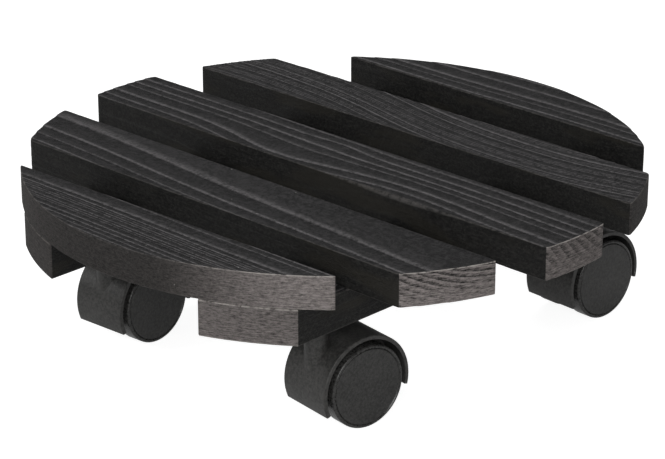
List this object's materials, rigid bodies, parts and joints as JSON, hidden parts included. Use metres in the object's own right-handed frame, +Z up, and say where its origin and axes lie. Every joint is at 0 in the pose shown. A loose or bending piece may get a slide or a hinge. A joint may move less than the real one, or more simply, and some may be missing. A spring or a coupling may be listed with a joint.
{
  "type": "plant caddy",
  "caption": "Round slatted wooden plant stand on hooded twin-wheel swivel casters, for rolling a heavy pot about.",
  "frame": {"origin": "on the floor under the middle of the round deck", "axes": "+Z up; X along the slats; +Y across the slats, from the front rim slat to the back rim slat"},
  "size_m": [0.3, 0.3, 0.0895],
  "materials": {
    "stained_pine": "black stained, brushed softwood grain, matt",
    "caster_plastic": "black moulded plastic, finely textured",
    "tread": "dark grey moulded tread, smooth",
    "zinc_steel": "zinc plated",
    "nylon": "natural nylon"
  },
  "bodies": {
    "deck": {"slat_front_rim": "stained_pine", "slat_front": "stained_pine", "slat_middle": "stained_pine", "slat_back": "stained_pine", "slat_back_rim": "stained_pine", "batten_left": "stained_pine", "batten_right": "stained_pine", "slat_screws": "zinc_steel", "caster_screws": "zinc_steel", "caster_front_left_plate": "zinc_steel", "caster_front_left_kingpin": "zinc_steel", "caster_front_left_thrust_washer": "nylon", "caster_front_left_retaining_ring": "zinc_steel", "caster_front_right_plate": "zinc_steel", "caster_front_right_kingpin": "zinc_steel", "caster_front_right_thrust_washer": "nylon", "caster_front_right_retaining_ring": "zinc_steel", "caster_back_left_plate": "zinc_steel", "caster_back_left_kingpin": "zinc_steel", "caster_back_left_thrust_washer": "nylon", "caster_back_left_retaining_ring": "zinc_steel", "caster_back_right_plate": "zinc_steel", "caster_back_right_kingpin": "zinc_steel", "caster_back_right_thrust_washer": "nylon", "caster_back_right_retaining_ring": "zinc_steel"},
    "caster_front_left_swivel": {"caster_front_left_housing": "caster_plastic", "caster_front_left_axle": "zinc_steel"},
    "caster_front_left_left_roller": {"caster_front_left_left_wheel": "caster_plastic", "caster_front_left_left_tyre": "tread"},
    "caster_front_left_right_roller": {"caster_front_left_right_wheel": "caster_plastic", "caster_front_left_right_tyre": "tread"},
    "caster_front_right_swivel": {"caster_front_right_housing": "caster_plastic", "caster_front_right_axle": "zinc_steel"},
    "caster_front_right_left_roller": {"caster_front_right_left_wheel": "caster_plastic", "caster_front_right_left_tyre": "tread"},
    "caster_front_right_right_roller": {"caster_front_right_right_wheel": "caster_plastic", "caster_front_right_right_tyre": "tread"},
    "caster_back_left_swivel": {"caster_back_left_housing": "caster_plastic", "caster_back_left_axle": "zinc_steel"},
    "caster_back_left_left_roller": {"caster_back_left_left_wheel": "caster_plastic", "caster_back_left_left_tyre": "tread"},
    "caster_back_left_right_roller": {"caster_back_left_right_wheel": "caster_plastic", "caster_back_left_right_tyre": "tread"},
    "caster_back_right_swivel": {"caster_back_right_housing": "caster_plastic", "caster_back_right_axle": "zinc_steel"},
    "caster_back_right_left_roller": {"caster_back_right_left_wheel": "caster_plastic", "caster_back_right_left_tyre": "tread"},
    "caster_back_right_right_roller": {"caster_back_right_right_wheel": "caster_plastic", "caster_back_right_right_tyre": "tread"}
  },
  "joints": [
    {"name": "caster_front_left_swivel", "type": "hinge", "parent": "deck", "child": "caster_front_left_swivel", "pos_m": [-0.06348, -0.09094, 0.056], "axis": [0, 0, 1], "continuous": true},
    {"name": "caster_front_left_left_roll", "type": "hinge", "parent": "caster_front_left_swivel", "child": "caster_front_left_left_roller", "pos_m": [-0.06431, -0.07396, 0.02], "axis": [0.9988, 0.0488, 0], "continuous": true},
    {"name": "caster_front_left_right_roll", "type": "hinge", "parent": "caster_front_left_swivel", "child": "caster_front_left_right_roller", "pos_m": [-0.06431, -0.07396, 0.02], "axis": [0.9988, 0.0488, 0], "continuous": true},
    {"name": "caster_front_right_swivel", "type": "hinge", "parent": "deck", "child": "caster_front_right_swivel", "pos_m": [0.07103, -0.08594, 0.056], "axis": [0, 0, 1], "continuous": true},
    {"name": "caster_front_right_left_roll", "type": "hinge", "parent": "caster_front_right_swivel", "child": "caster_front_right_left_roller", "pos_m": [0.07354, -0.06913, 0.02], "axis": [0.989, -0.1478, 0], "continuous": true},
    {"name": "caster_front_right_right_roll", "type": "hinge", "parent": "caster_front_right_swivel", "child": "caster_front_right_right_roller", "pos_m": [0.07354, -0.06913, 0.02], "axis": [0.989, -0.1478, 0], "continuous": true},
    {"name": "caster_back_left_swivel", "type": "hinge", "parent": "deck", "child": "caster_back_left_swivel", "pos_m": [-0.06248, 0.08894, 0.056], "axis": [0, 0, 1], "continuous": true},
    {"name": "caster_back_left_left_roll", "type": "hinge", "parent": "caster_back_left_swivel", "child": "caster_back_left_left_roller", "pos_m": [-0.061, 0.10588, 0.02], "axis": [0.9962, -0.0872, 0], "continuous": true},
    {"name": "caster_back_left_right_roll", "type": "hinge", "parent": "caster_back_left_swivel", "child": "caster_back_left_right_roller", "pos_m": [-0.061, 0.10588, 0.02], "axis": [0.9962, -0.0872, 0], "continuous": true},
    {"name": "caster_back_right_swivel", "type": "hinge", "parent": "deck", "child": "caster_back_right_swivel", "pos_m": [0.07253, 0.08344, 0.056], "axis": [0, 0, 1], "continuous": true},
    {"name": "caster_back_right_left_roll", "type": "hinge", "parent": "caster_back_right_swivel", "child": "caster_back_right_left_roller", "pos_m": [0.07357, 0.10041, 0.02], "axis": [0.9981, -0.061, 0], "continuous": true},
    {"name": "caster_back_right_right_roll", "type": "hinge", "parent": "caster_back_right_swivel", "child": "caster_back_right_right_roller", "pos_m": [0.07357, 0.10041, 0.02], "axis": [0.9981, -0.061, 0], "continuous": true}
  ]
}
